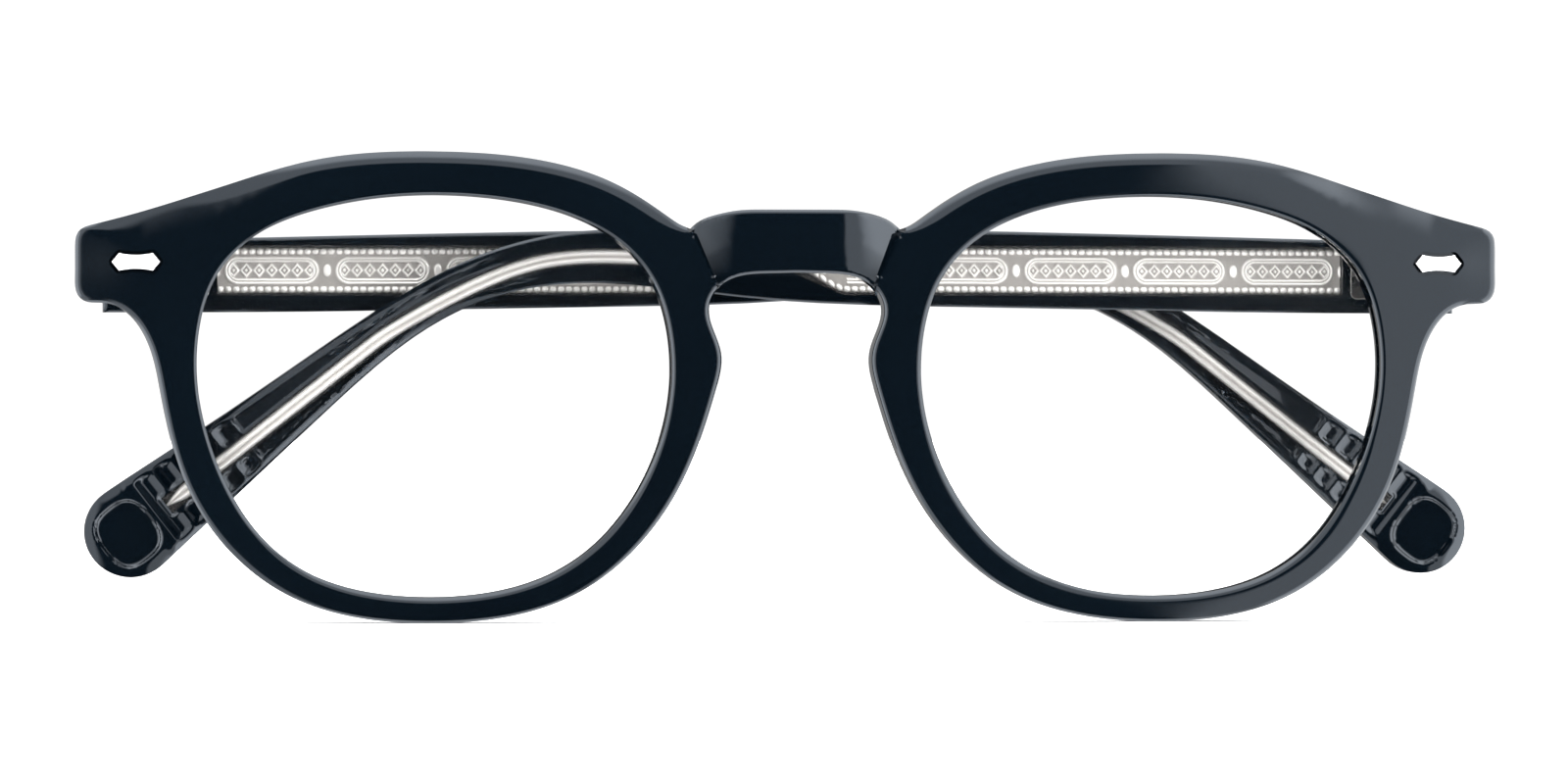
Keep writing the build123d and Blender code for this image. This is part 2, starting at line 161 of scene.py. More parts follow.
def face_loops(node, place, surface, tolerance=0.06):
    """Closed outlines, largest first, of the faces of a CAD node that lie on depth = surface(u, w)."""
    mesh = frame["nodes"][node].data
    points = place(np.array([v.co for v in mesh.vertices], float) / MM)
    keys = np.round(points * WELD_PER_MM).astype(int)
    _, first, number = np.unique(keys, axis=0, return_index=True, return_inverse=True)
    number = number.reshape(-1)
    points = points[first]
    mesh.calc_loop_triangles()
    triangles = number[np.array([t.vertices for t in mesh.loop_triangles])]
    corners = points[triangles]
    normal = np.cross(corners[:, 1] - corners[:, 0], corners[:, 2] - corners[:, 0])
    size = np.linalg.norm(normal, axis=1)
    off = np.abs(corners[:, :, 2] - surface(corners[:, :, 0], corners[:, :, 1])).max(1)
    chosen = (off < tolerance) & (size > 1e-9) & (np.abs(normal[:, 2]) > 0.8 * size)
    count = {}
    for a, b, c in triangles[chosen]:
        for edge in ((a, b), (b, c), (c, a)):
            key = (min(edge), max(edge))
            count[key] = count.get(key, 0) + 1
    following = {}
    for (a, b), uses in count.items():
        if uses == 1:
            following.setdefault(a, []).append(b)
            following.setdefault(b, []).append(a)
    loops = []
    while following:
        start = next(iter(following))
        loop, here = [start], start
        while True:
            step = following[here].pop()
            following[step].remove(here)
            if not following[here]:
                del following[here]
            if step == start:
                break
            loop.append(step)
            here = step
        if not following.get(start):
            following.pop(start, None)
        loops.append(points[loop][:, :2])
    loops.sort(key=lambda loop: -abs(signed_area(loop)))
    return loops


def level(depth):
    """A flat surface at this depth, as face_loops takes it."""
    return lambda u, w: depth + 0 * u


def signed_area(loop):
    """Area of a closed outline, above zero where it runs anticlockwise."""
    x, y = loop.T
    return 0.5 * np.sum(x * np.roll(y, -1) - y * np.roll(x, -1))


def spline_through(points, spacing):
    """A natural cubic spline through points, read at even steps. The last point is left out."""
    knots = np.concatenate(([0], np.cumsum(np.linalg.norm(np.diff(points, axis=0), axis=1))))
    total = knots[-1]
    steps = max(2, int(round(total / spacing)))
    if len(points) == 2:
        t = np.linspace(0, 1, steps, endpoint=False)[:, None]
        return points[0] * (1 - t) + points[1] * t
    h = np.diff(knots)
    n = len(points)
    system = np.eye(n)
    right = np.zeros((n, 2))
    for i in range(1, n - 1):
        system[i, i - 1 : i + 2] = h[i - 1], 2 * (h[i - 1] + h[i]), h[i]
        right[i] = 6 * ((points[i + 1] - points[i]) / h[i] - (points[i] - points[i - 1]) / h[i - 1])
    bend = np.linalg.solve(system, right)
    t = np.linspace(0, total, steps, endpoint=False)
    i = np.clip(np.searchsorted(knots, t, "right") - 1, 0, n - 2)
    a, b, step = (knots[i + 1] - t)[:, None], (t - knots[i])[:, None], h[i][:, None]
    return (
        bend[i] * a**3 / (6 * step)
        + bend[i + 1] * b**3 / (6 * step)
        + (points[i] / step - bend[i] * step / 6) * a
        + (points[i + 1] / step - bend[i + 1] * step / 6) * b
    )


def filled_in(loop, longest):
    """The closed outline with points added on its long straight runs."""
    out = []
    for a, b in zip(loop, np.roll(loop, -1, axis=0)):
        parts = int(np.ceil(np.linalg.norm(b - a) / longest))
        out += [a + (b - a) * i / parts for i in range(parts)]
    return np.array(out)


def relaxed(points, times, closed=True):
    """Points evened out along their line. The ends of an open line stay."""
    points = points.copy()
    for _ in range(times):
        mean = (np.roll(points, 1, axis=0) + 2 * points + np.roll(points, -1, axis=0)) / 4
        if closed:
            points = mean
        else:
            points[1:-1] = mean[1:-1]
    return points


def smooth_loop(loop, spacing, corner=32):
    """The same closed outline, anticlockwise, at even spacing: smooth between its sharp corners."""
    if signed_area(loop) < 0:
        loop = loop[::-1]
    keep = np.linalg.norm(loop - np.roll(loop, 1, axis=0), axis=1) > 0.02
    loop = filled_in(loop[keep], max(3 * spacing, 1.2))
    before = loop - np.roll(loop, 1, axis=0)
    after = np.roll(loop, -1, axis=0) - loop
    turn = np.arctan2(
        before[:, 0] * after[:, 1] - before[:, 1] * after[:, 0], (before * after).sum(1)
    )
    corners = np.flatnonzero(np.abs(turn) > radians(corner))
    if not len(corners):
        wrap = 8
        ends = np.concatenate((loop[-wrap:], loop, loop[: wrap + 1]))
        dense = spline_through(ends, spacing / 6)
        first = np.argmin(np.linalg.norm(dense[: len(dense) // 2] - loop[0], axis=1))
        last = len(dense) // 2 + np.argmin(np.linalg.norm(dense[len(dense) // 2 :] - loop[0], axis=1))
        ring = dense[first:last]
        steps = max(8, int(round(len(ring) / 6)))
        ring = ring[np.linspace(0, len(ring), steps, endpoint=False).astype(int)]
        return relaxed(ring, 4)
    pieces = []
    for a, b in zip(corners, np.roll(corners, -1)):
        run = loop[a : b + 1] if b > a else np.concatenate((loop[a:], loop[: b + 1]))
        piece = spline_through(run, spacing)
        pieces.append(relaxed(np.concatenate((piece, run[-1:])), 4, closed=False)[:-1])
    return np.concatenate(pieces)


def ring_normals(loop):
    """Unit vectors to the left of the way round, at each point of a closed outline."""
    way = np.roll(loop, -1, axis=0) - np.roll(loop, 1, axis=0)
    way /= np.linalg.norm(way, axis=1)[:, None] + 1e-12
    return np.stack((-way[:, 1], way[:, 0]), 1)


def distance_to(points, loop, closed=True):
    """Distance from each point to a line."""
    a = loop if closed else loop[:-1]
    b = np.roll(loop, -1, axis=0) if closed else loop[1:]
    span = b - a
    length = (span**2).sum(1) + 1e-12
    out = np.empty(len(points))
    for start in range(0, len(points), LINE_CHUNK):
        p = points[start : start + LINE_CHUNK, None]
        t = np.clip(((p - a) * span).sum(2) / length, 0, 1)
        gap = p - (a + t[..., None] * span)
        out[start : start + LINE_CHUNK] = np.sqrt((gap**2).sum(2).min(1))
    return out


def facing_up(points, loop):
    """How far the nearest part of an anticlockwise outline faces up, from -1 to 1."""
    up = -ring_normals(loop)[:, 1]
    for _ in range(8):
        up = (np.roll(up, 1) + 2 * up + np.roll(up, -1)) / 4
    out = np.empty(len(points))
    for start in range(0, len(points), LINE_CHUNK):
        gap = ((points[start : start + LINE_CHUNK, None] - loop) ** 2).sum(2)
        out[start : start + LINE_CHUNK] = up[gap.argmin(1)]
    return out


def inside(points, loop):
    """Which points lie inside a closed outline."""
    a, b = loop, np.roll(loop, -1, axis=0)
    out = np.empty(len(points), bool)
    for start in range(0, len(points), LINE_CHUNK):
        x, y = points[start : start + LINE_CHUNK, 0, None], points[start : start + LINE_CHUNK, 1, None]
        crosses = (a[:, 1] > y) != (b[:, 1] > y)
        with np.errstate(divide="ignore", invalid="ignore"):
            at = a[:, 0] + (y - a[:, 1]) * (b[:, 0] - a[:, 0]) / (b[:, 1] - a[:, 1])
        out[start : start + LINE_CHUNK] = (crosses & (x < at)).sum(1) % 2 == 1
    return out


ROW_HEIGHT = 0.866  # of an even triangle with sides of 1


class Sheet:
    """A flat area with holes, as triangles that follow its edges closely.

    rings are the distances from the edges at which points follow them. No ring point is made inside zone,
    where the extra points take their place.
    """

    def __init__(self, outer, holes=(), rings=(), pitch=0.6, extra=None, zone=None):
        loops = [outer] + [hole[::-1] for hole in holes]
        points = list(loops)
        for offset in rings:
            for loop in loops:
                ring = loop + ring_normals(loop) * offset
                ring = ring[~zone(ring)] if zone else ring
                gap = np.min([distance_to(ring, other) for other in loops], axis=0)
                points.append(ring[self.within(ring, loops) & (gap > offset * 0.96)])
        low, high = outer.min(0), outer.max(0)
        columns = np.arange(low[0], high[0], pitch)
        rows = np.arange(low[1], high[1], pitch * ROW_HEIGHT)
        grid = np.concatenate([
            np.stack((columns + (row % 2) * pitch / 2, np.full(len(columns), y)), 1)
            for row, y in enumerate(rows)
        ])
        grid = grid[self.within(grid, loops)]
        gap = np.min([distance_to(grid, loop) for loop in loops], axis=0)
        grid = grid[gap > (rings[-1] if len(rings) else 0) + pitch * 0.45]
        if extra is not None:
            extra = extra[self.within(extra, loops)]
            gap = np.min([distance_to(extra, loop) for loop in loops], axis=0)
            extra = extra[gap > 0.1]
            near = np.array([np.abs(extra - g).sum(1).min() < pitch for g in grid])
            grid = np.concatenate((grid[~near], extra))
        points = np.concatenate(points + [grid])
        edges, start = [], 0
        for loop in loops:
            n = len(loop)
            edges += [(start + i, start + (i + 1) % n) for i in range(n)]
            start += n
        verts, _, faces, origin, _, _ = delaunay_2d_cdt(
            [Vector(p) for p in points], edges, [], 0, 1e-7, True
        )
        self.points = np.array([(v.x, v.y) for v in verts])
        faces = np.array([f for f in faces if len(f) == 3])
        middle = self.points[faces].mean(1)
        self.faces = faces[self.within(middle, loops)]
        place = {}
        for new, olds in enumerate(origin):
            for old in olds:
                place[old] = new
        self.loops, start = [], 0
        for loop in loops:
            self.loops.append(np.array([place[start + i] for i in range(len(loop))]))
            start += len(loop)
        self.outlines = loops

    @staticmethod
    def within(points, loops):
        """Which points lie inside the first outline and outside the others."""
        result = inside(points, loops[0])
        for hole in loops[1:]:
            result &= ~inside(points, hole)
        return result

    def edge_distance(self, which=None):
        """Distance from each point to the nearest of these outlines, or of all of them."""
        loops = self.outlines if which is None else [self.outlines[i] for i in which]
        return np.min([distance_to(self.points, loop) for loop in loops], axis=0)


class Builder:
    """Collects points and faces, and makes one mesh object of them."""

    def __init__(self):
        self.points, self.faces, self.count = [], [], 0

    def add(self, points):
        start = self.count
        self.points.append(np.asarray(points, float))
        self.count += len(points)
        return np.arange(start, self.count)

    def surface(self, sheet, depth):
        """The sheet's points at these depths. Returns their numbers."""
        index = self.add(np.column_stack((sheet.points, depth)))
        self.faces += [tuple(index[list(face)]) for face in sheet.faces]
        return index

    def strip(self, ring_a, ring_b, closed=True):
        """Four-sided faces between two lines of points."""
        n = len(ring_a)
        for i in range(n if closed else n - 1):
            j = (i + 1) % n
            self.faces.append((ring_a[i], ring_a[j], ring_b[j], ring_b[i]))

    def fan(self, ring, centre):
        """Triangles from a ring to one new point."""
        middle = self.add([centre])[0]
        n = len(ring)
        self.faces += [(ring[i], ring[(i + 1) % n], middle) for i in range(n)]

    def build(self, name, place, sharp=35, colour=None):
        """The mesh object, with edges over sharp degrees kept sharp."""
        points = place(np.concatenate(self.points)) * MM
        faces = [tuple(int(i) for i in face) for face in self.faces]
        mesh = bpy.data.meshes.new(name)
        mesh.from_pydata([tuple(p) for p in points], [], faces)
        # The colour values become the tint attribute, which the core metal reads as painted shade in
        # recesses.
        if colour is not None:
            layer = mesh.attributes.new("tint", "FLOAT", "POINT")
            layer.data.foreach_set("value", colour.astype(np.float32))
        body = bmesh.new()
        body.from_mesh(mesh)
        bmesh.ops.recalc_face_normals(body, faces=body.faces)
        body.to_mesh(mesh)
        body.free()
        mesh.shade_smooth()
        mesh.set_sharp_from_angle(angle=radians(sharp))
        piece = bpy.data.objects.new(name, mesh)
        bpy.context.scene.collection.objects.link(piece)
        return piece


def finish_piece(piece, body, material, node):
    """Give a piece its material and its body, and hide the CAD node that it stands for."""
    piece.data.materials.clear()
    piece.data.materials.append(material)
    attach(piece, body)
    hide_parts(node)


# ---------------------------------------------------------------- materials


def new_material(name, **values):
    """A material and its Principled shader, with plain values set on the shader's own sockets."""
    material = bpy.data.materials.new(name)
    material.use_nodes = True
    shader = material.node_tree.nodes["Principled BSDF"]
    for key, value in values.items():
        shader.inputs[key.replace("_", " ")].default_value = value
    return material, shader


def noise_into(material, socket, scale, low, high, detail=4.0):
    """A soft noise between two values, linked to one socket of the shader."""
    nodes, links = material.node_tree.nodes, material.node_tree.links
    place = nodes.new("ShaderNodeTexCoord")
    noise = nodes.new("ShaderNodeTexNoise")
    noise.inputs["Scale"].default_value = scale
    noise.inputs["Detail"].default_value = detail
    spread = nodes.new("ShaderNodeMapRange")
    spread.inputs["From Min"].default_value = 0.3
    spread.inputs["From Max"].default_value = 0.7
    spread.inputs["To Min"].default_value = low
    spread.inputs["To Max"].default_value = high
    links.new(place.outputs["Object"], noise.inputs["Vector"])
    links.new(noise.outputs["Fac"], spread.inputs["Value"])
    links.new(spread.outputs["Result"], socket)


def bump_into(material, shader, scale, height, detail=2.0):
    """Fine relief from a noise of this scale, its height in metres."""
    nodes, links = material.node_tree.nodes, material.node_tree.links
    place = nodes.new("ShaderNodeTexCoord")
    noise = nodes.new("ShaderNodeTexNoise")
    noise.inputs["Scale"].default_value = scale
    noise.inputs["Detail"].default_value = detail
    bump = nodes.new("ShaderNodeBump")
    bump.inputs["Strength"].default_value = 1.0
    bump.inputs["Distance"].default_value = height
    links.new(place.outputs["Object"], noise.inputs["Vector"])
    links.new(noise.outputs["Fac"], bump.inputs["Height"])
    links.new(bump.outputs["Normal"], shader.inputs["Normal"])


def black_plastic():
    """Polished injection-moulded black: a blue-black body with faint flow in the gloss."""
    material, shader = new_material("black_plastic", IOR=1.5, Specular_Tint=(0.82, 0.90, 1.0, 1))
    nodes, links = material.node_tree.nodes, material.node_tree.links
    noise_into(material, shader.inputs["Roughness"], 120, 0.035, 0.085)
    place = nodes.new("ShaderNodeTexCoord")
    flow = nodes.new("ShaderNodeTexNoise")
    flow.inputs["Scale"].default_value = 45
    mix = nodes.new("ShaderNodeMix")
    mix.data_type = "RGBA"
    mix.inputs["A"].default_value = (0.0008, 0.0020, 0.0036, 1)
    mix.inputs["B"].default_value = (0.0016, 0.0038, 0.0064, 1)
    links.new(place.outputs["Object"], flow.inputs["Vector"])
    links.new(flow.outputs["Fac"], mix.inputs["Factor"])
    links.new(mix.outputs["Result"], shader.inputs["Base Color"])
    bump_into(material, shader, 260, 0.0000012)
    return material


def clear_plastic(name, alpha, tint):
    """A thin clear piece: mostly see-through, with a polished face and faint cloudiness."""
    material, shader = new_material(name, IOR=1.5, Base_Color=tint)
    noise_into(material, shader.inputs["Roughness"], 90, 0.015, 0.045)
    noise_into(material, shader.inputs["Alpha"], 60, alpha * 0.85, alpha * 1.15)
    material.surface_render_method = "BLENDED"
    return material


def metal(name, colour, dark, rough, grain, relief, metallic=1.0):
    """A fine-grained metal. With relief, its colour darkens where the mesh's tint attribute is low, which
    paints shade into the mesh's recesses.
    """
    material, shader = new_material(name, Metallic=metallic)
    nodes, links = material.node_tree.nodes, material.node_tree.links
    noise_into(material, shader.inputs["Roughness"], grain, *rough)
    mix = nodes.new("ShaderNodeMix")
    mix.data_type = "RGBA"
    mix.inputs["A"].default_value = (*dark, 1)
    mix.inputs["B"].default_value = (*colour, 1)
    if relief:
        # The tint attribute carries painted shade: low values darken the colour in the mesh's recesses.
        tint = nodes.new("ShaderNodeAttribute")
        tint.attribute_name = "tint"
        links.new(tint.outputs["Fac"], mix.inputs["Factor"])
    else:
        place = nodes.new("ShaderNodeTexCoord")
        cloud = nodes.new("ShaderNodeTexNoise")
        cloud.inputs["Scale"].default_value = grain / 4
        links.new(place.outputs["Object"], cloud.inputs["Vector"])
        links.new(cloud.outputs["Fac"], mix.inputs["Factor"])
    links.new(mix.outputs["Result"], shader.inputs["Base Color"])
    bump_into(material, shader, grain * 6, 0.000002)
    return material


BLACK = black_plastic()
LENS = clear_plastic("clear_lens", 0.035, (0.03, 0.032, 0.034, 1))
CLEAR = clear_plastic("clear_inlay", 0.07, (0.30, 0.30, 0.30, 1))
# The core's dark colour is painted shade, laid into the plate's low ground and the wire's groove through
# the tint attribute.
CORE = metal("core_metal", (0.94, 0.92, 0.89), (0.30, 0.28, 0.26), (0.3, 0.45), 900, True, 0.35)
PLAQUE = metal("polished_plaque", (0.93, 0.93, 0.93), (0.85, 0.85, 0.86), (0.12, 0.2), 500, False, 0.35)
HINGE = metal("hinge_metal", (0.72, 0.70, 0.67), (0.55, 0.53, 0.50), (0.22, 0.34), 700, False)
STEEL = metal("screw_steel", (0.66, 0.66, 0.67), (0.50, 0.50, 0.52), (0.16, 0.28), 900, False)


# ---------------------------------------------------------------- front

EDGE_ROWS = (0.04, 0.12, 0.22, 0.34, 0.5, 0.7, 0.95, 1.25, 1.6)
EDGE_BEVEL = 0.42
BROW_BEVEL = 1.45
EDGE_DROP = 0.26
BROW_DROP = 0.30
LIP_BEVEL = 0.38
LIP_DROP = 0.24
CROWN = 0.09
FACE_DEPTH = 0.10
SWELL_AT = (63.5, 35.0)
SWELL_SIZE = (4.2, 2.6)
SWELL_HEIGHT = 0.10
BRIDGE_SLOPE = 0.25
BRIDGE_FLAT = 4.9
BRIDGE_SOFT = 0.7
BRIDGE_FADE = (31.0, 33.2)
CREASE_AT = (8.0, 33.7)
CREASE_LEAN = 0.47
CREASE_STEP = 0.3
CREASE_ASIDE = (-3.4, -2.9, -2.4, -1.9, -1.4, -0.9, -0.5, -0.2, 0.0, 0.15, 0.3, 0.55, 0.9)
CREASE_TOP = 40.0
BLOCK_START = (59.3, 61.8)
SEAT = 0.05
SKIN = 0.02


def front_plane(x, z):
    """Depth of the front's curved face. It is the same at every z."""
    return FRONT_Y + sagitta(x)


def crease_at(z):
    """Where the bridge meets a rim, as a distance from the middle."""
    return CREASE_AT[0] + (z - CREASE_AT[1]) * CREASE_LEAN


def saddle(x, z):
    """Depth of the bridge: flat in the middle, sloping back on each side to a crease at the rim."""
    past = np.abs(x) - crease_at(z)
    slope = BRIDGE_SLOPE * np.logaddexp(0, (np.abs(x) - BRIDGE_FLAT) / BRIDGE_SOFT) * BRIDGE_SOFT
    step = 1 - smoothstep(0.0, CREASE_STEP, past)
    return slope * step * smoothstep(*BRIDGE_FADE, z)


def crease_points():
    """Extra points along both creases and across the bridge's slopes."""
    out = []
    for z in np.arange(BRIDGE_FADE[0], CREASE_TOP, CREASE_STEP):
        for aside in CREASE_ASIDE:
            for sign in (-1, 1):
                out.append((sign * (crease_at(z) + aside), z))
    return np.array(out)


def front_heights(sheet, outer_gap, hole_gap):
    """Depth of the front's visible face: curved, crowned across the rims, with bevelled edges."""
    x, z = sheet.points.T
    outlines = sheet.outlines
    width = np.clip(outer_gap + hole_gap, 1, 7)
    share = outer_gap / (outer_gap + hole_gap + 1e-9)
    crown = CROWN * width * (share - 0.55) ** 2 * (1 - smoothstep(53, 60, np.abs(x)))
    brow = smoothstep(0.15, 0.75, facing_up(sheet.points, outlines[0]))
    brow *= smoothstep(9.5, 14.5, np.abs(x)) * (1 - smoothstep(63, 69, np.abs(x)))
    bevel = EDGE_BEVEL + (BROW_BEVEL - EDGE_BEVEL + 2.4 * smoothstep(46, 60, np.abs(x))) * brow
    outer = (EDGE_DROP + BROW_DROP * brow) * np.clip(1 - outer_gap / bevel, 0, 1) ** 2
    ups = [-facing_up(sheet.points, outlines[i][::-1]) for i in (1, 2)]
    on_first_side = (x > 0) == (outlines[1][:, 0].mean() > 0)
    up = np.where(on_first_side, *ups)
    lip = smoothstep(0.1, 0.8, up)
    inner = (LIP_DROP + 0.10 * lip) * np.clip(1 - hole_gap / (LIP_BEVEL + 0.32 * lip), 0, 1) ** 2
    aside, above = (np.abs(x) - SWELL_AT[0]) / SWELL_SIZE[0], (z - SWELL_AT[1]) / SWELL_SIZE[1]
    swell = SWELL_HEIGHT * np.exp(-(aside**2 + above**2))
    return front_plane(x, z) + crown + outer + inner + saddle(x, z) + FACE_DEPTH - swell


def front_back(sheet, outer_gap, hole_gap):
    """Depth of the rear face: the same curve, with the end pieces' flat blocks and rounded edges."""
    x, z = sheet.points.T
    curve = FRONT_Y + FRONT_THICK + sagitta(x, FRONT_RADIUS - FRONT_THICK)
    block = smoothstep(*BLOCK_START, np.abs(x))
    rear = curve * (1 - block) + (END_BACK_Y - SEAT) * block
    outer = 0.45 * np.clip(1 - outer_gap / 0.9, 0, 1) ** 2
    inner = 0.3 * np.clip(1 - hole_gap / 0.6, 0, 1) ** 2
    return rear - outer - inner


def make_front():
    """The moulded front, with a groove in each lens opening and a pocket under each plaque."""
    loops = face_loops("front_frame", to_front, front_plane)
    outer = smooth_loop(loops[0], 0.45)
    openings = [smooth_loop(loop, 0.45) for loop in loops[1:3]]
    pockets = [smooth_loop(loop, 0.16, corner=20) for loop in loops[3:5]]
    front = Sheet(outer, openings + pockets, EDGE_ROWS, 0.7, crease_points())
    back = Sheet(outer, openings, EDGE_ROWS, 0.8)
    builder = Builder()
    gaps = front.edge_distance([0]), front.edge_distance([1, 2])
    heights = front_heights(front, *gaps)
    face = builder.surface(front, heights)
    rear_heights = front_back(back, back.edge_distance([0]), back.edge_distance([1, 2]))
    rear = builder.surface(back, rear_heights)
    for number in range(3):
        loop = front.outlines[number]
        near, far = front.loops[number], back.loops[number]
        start, end = heights[near], rear_heights[far]
        rows = [face[near]]
        if number:
            middle = FRONT_Y + FRONT_THICK / 2 + sagitta(loop[:, 0])
            outward = ring_normals(loop)
            for shift, push in ((-1, 0), (-1, GROOVE_DEPTH), (1, GROOVE_DEPTH), (1, 0)):
                depth = middle + shift * GROOVE_WIDTH / 2
                rows.append(builder.add(np.column_stack((loop + outward * push, depth))))
        else:
            for part in (0.33, 0.67):
                rows.append(builder.add(np.column_stack((loop, start * (1 - part) + end * part))))
        rows.append(rear[far])
        for one, two in zip(rows, rows[1:]):
            builder.strip(one, two)
    for number in (3, 4):
        loop = front.outlines[number]
        floor_depth = front_plane(loop[:, 0], 0) + POCKET_DEPTH + FACE_DEPTH
        floor = builder.add(np.column_stack((loop, floor_depth)))
        builder.strip(face[front.loops[number]], floor)
        centre = loop.mean(0)
        builder.fan(floor, (*centre, front_plane(centre[0], 0) + POCKET_DEPTH + FACE_DEPTH))
    piece = builder.build("front_body", from_front)
    finish_piece(piece, "front", BLACK, "front_frame")


def plaque_plane(x, z):
    """Depth of a plaque's face."""
    return front_plane(x, z) - PLAQUE_PROUD


def make_plaque(side):
    """Polished plate with bevelled edges and a barely domed face."""
    loops = face_loops(f"plaque_{side}", to_front, plaque_plane, 0.05)
    outline = smooth_loop(loops[0], 0.12, corner=20)
    sheet = Sheet(outline, (), (0.05, 0.12, 0.2), 0.2)
    gap = sheet.edge_distance()
    x = sheet.points[:, 0]
    bevel = 0.16 * np.clip(1 - gap / 0.24, 0, 1) ** 1.3
    top = plaque_plane(x, 0) + SKIN + bevel + 0.03 * np.exp(-gap * 2.5)
    builder = Builder()
    face = builder.surface(sheet, top)
    under_depth = front_plane(outline[:, 0], 0) + POCKET_DEPTH + SEAT
    under = builder.add(np.column_stack((outline, under_depth)))
    builder.strip(face[sheet.loops[0]], under)
    centre = outline.mean(0)
    builder.fan(under, (*centre, front_plane(centre[0], 0) + POCKET_DEPTH + SEAT))
    piece = builder.build(f"end_piece_plaque_{side}", from_front, sharp=25)
    finish_piece(piece, "front", PLAQUE, f"plaque_{side}")


def lens_plane(x, z):
    """Depth of a lens's visible face."""
    return FRONT_Y + (FRONT_THICK - LENS_THICK) / 2 + sagitta(x)


def make_lens(side):
    """Demo lens: a thin curved plate, its edge bevelled where it sits in the groove."""
    loops = face_loops(f"lens_{side}", to_front, lens_plane, 0.12)
    outline = smooth_loop(loops[0], 0.9)
    sheet = Sheet(outline, (), (0.15, 0.4, 0.8), 1.6)
    gap = sheet.edge_distance()
    x = sheet.points[:, 0]
    bevel = 0.35 * np.clip(1 - gap / 0.7, 0, 1)
    builder = Builder()
    face = builder.surface(sheet, lens_plane(x, 0) + SKIN + bevel)
    rear = builder.surface(sheet, lens_plane(x, 0) + LENS_THICK - SKIN - bevel)
    builder.strip(face[sheet.loops[0]], rear[sheet.loops[0]])
    piece = builder.build(f"demo_lens_{side}", from_front)
    finish_piece(piece, "front", LENS, f"lens_{side}")


# Each ring of a pad: its share of the way from the foot to the crown, and its size
PAD_RINGS = ((0, 1.02), (0.3, 1.0), (0.55, 0.985), (0.75, 0.95), (0.88, 0.88), (0.96, 0.76), (1, 0.58))
PAD_POINTS = 64
PAD_NARROW = 0.8
PAD_SHIFT = 0.6
PAD_LEAN = 1.25
PAD_SUNK = 0.3


def make_nose_pad(side):
    """Moulded pad: rounded from its foot on the rim to a soft crown."""
    crown_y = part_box(f"nose_pad_{side}")[1].y / MM
    loops = face_loops(f"nose_pad_{side}", to_front, level(crown_y), 0.05)
    top = smooth_loop(loops[0], 0.3, corner=50)
    top = top[np.linspace(0, len(top), PAD_POINTS, endpoint=False).astype(int)]
    top = relaxed(top, 6)
    sign = 1 if side == "left" else -1
    centre = top.mean(0)
    foot_y = FRONT_Y + FRONT_THICK - PAD_SUNK
    lean = np.array((-PAD_LEAN * sign, 0))
    top[:, 0] = (top[:, 0] - centre[0]) * PAD_NARROW + centre[0] - PAD_SHIFT * sign
    builder = Builder()
    rings = []
    for share, size in PAD_RINGS:
        ring = centre + (top - centre) * size + lean * (1 - share)
        depth = foot_y + (crown_y - foot_y) * share
        rings.append(builder.add(np.column_stack((ring, np.full(PAD_POINTS, depth)))))
    for one, two in zip(rings, rings[1:]):
        builder.strip(one, two)
    builder.fan(rings[-1], (*centre, crown_y))
    builder.fan(rings[0], (*(centre + lean), foot_y))
    piece = builder.build(f"nose_pad_body_{side}", from_front, sharp=60)
    finish_piece(piece, "front", BLACK, f"nose_pad_{side}")


# ---------------------------------------------------------------- temples


def wire_line(spacing=0.4):
    """The wire's centre line, in u and w."""
    bend = spline_through(np.array(WIRE, float), spacing)
    straight = spline_through(np.array((WIRE[-1], WIRE_END), float), spacing)
    return relaxed(np.concatenate((bend, straight, [WIRE_END])), 10, closed=False)


ARM_WAY = np.array((cos(radians(ARM_SLOPE)), -sin(radians(ARM_SLOPE))))
ARM_ACROSS = np.array((sin(radians(ARM_SLOPE)), cos(radians(ARM_SLOPE))))
RIB_FIRST = 2.9
RIB_PITCH = 2.25
RIB_COUNT = 5
RIB_DEPTH = 0.50
RIBS_END = RIB_FIRST + RIB_COUNT * RIB_PITCH
FACET_SLOPE = 0.27
DISH_BACK = 0.35
DISH_HALF = (2.95, 3.3)
DISH_POWER = 2.8
DISH_WALL = 0.15
DISH_DEPTH = 0.45
TIP_STEP = 0.16
TIP_BEYOND = 4.8
TIP_HALF = 5
TIP_MARGIN = 1.2


def from_tip(points):
    """Distance along the arm from the tip's centre, and across it, upwards."""
    away = points - np.array(TIP_CENTRE)
    return -away @ ARM_WAY, away @ ARM_ACROSS


def in_tip(points):
    """Which points lie where dense_tip puts its own."""
    return from_tip(points)[0] < RIBS_END + TIP_MARGIN


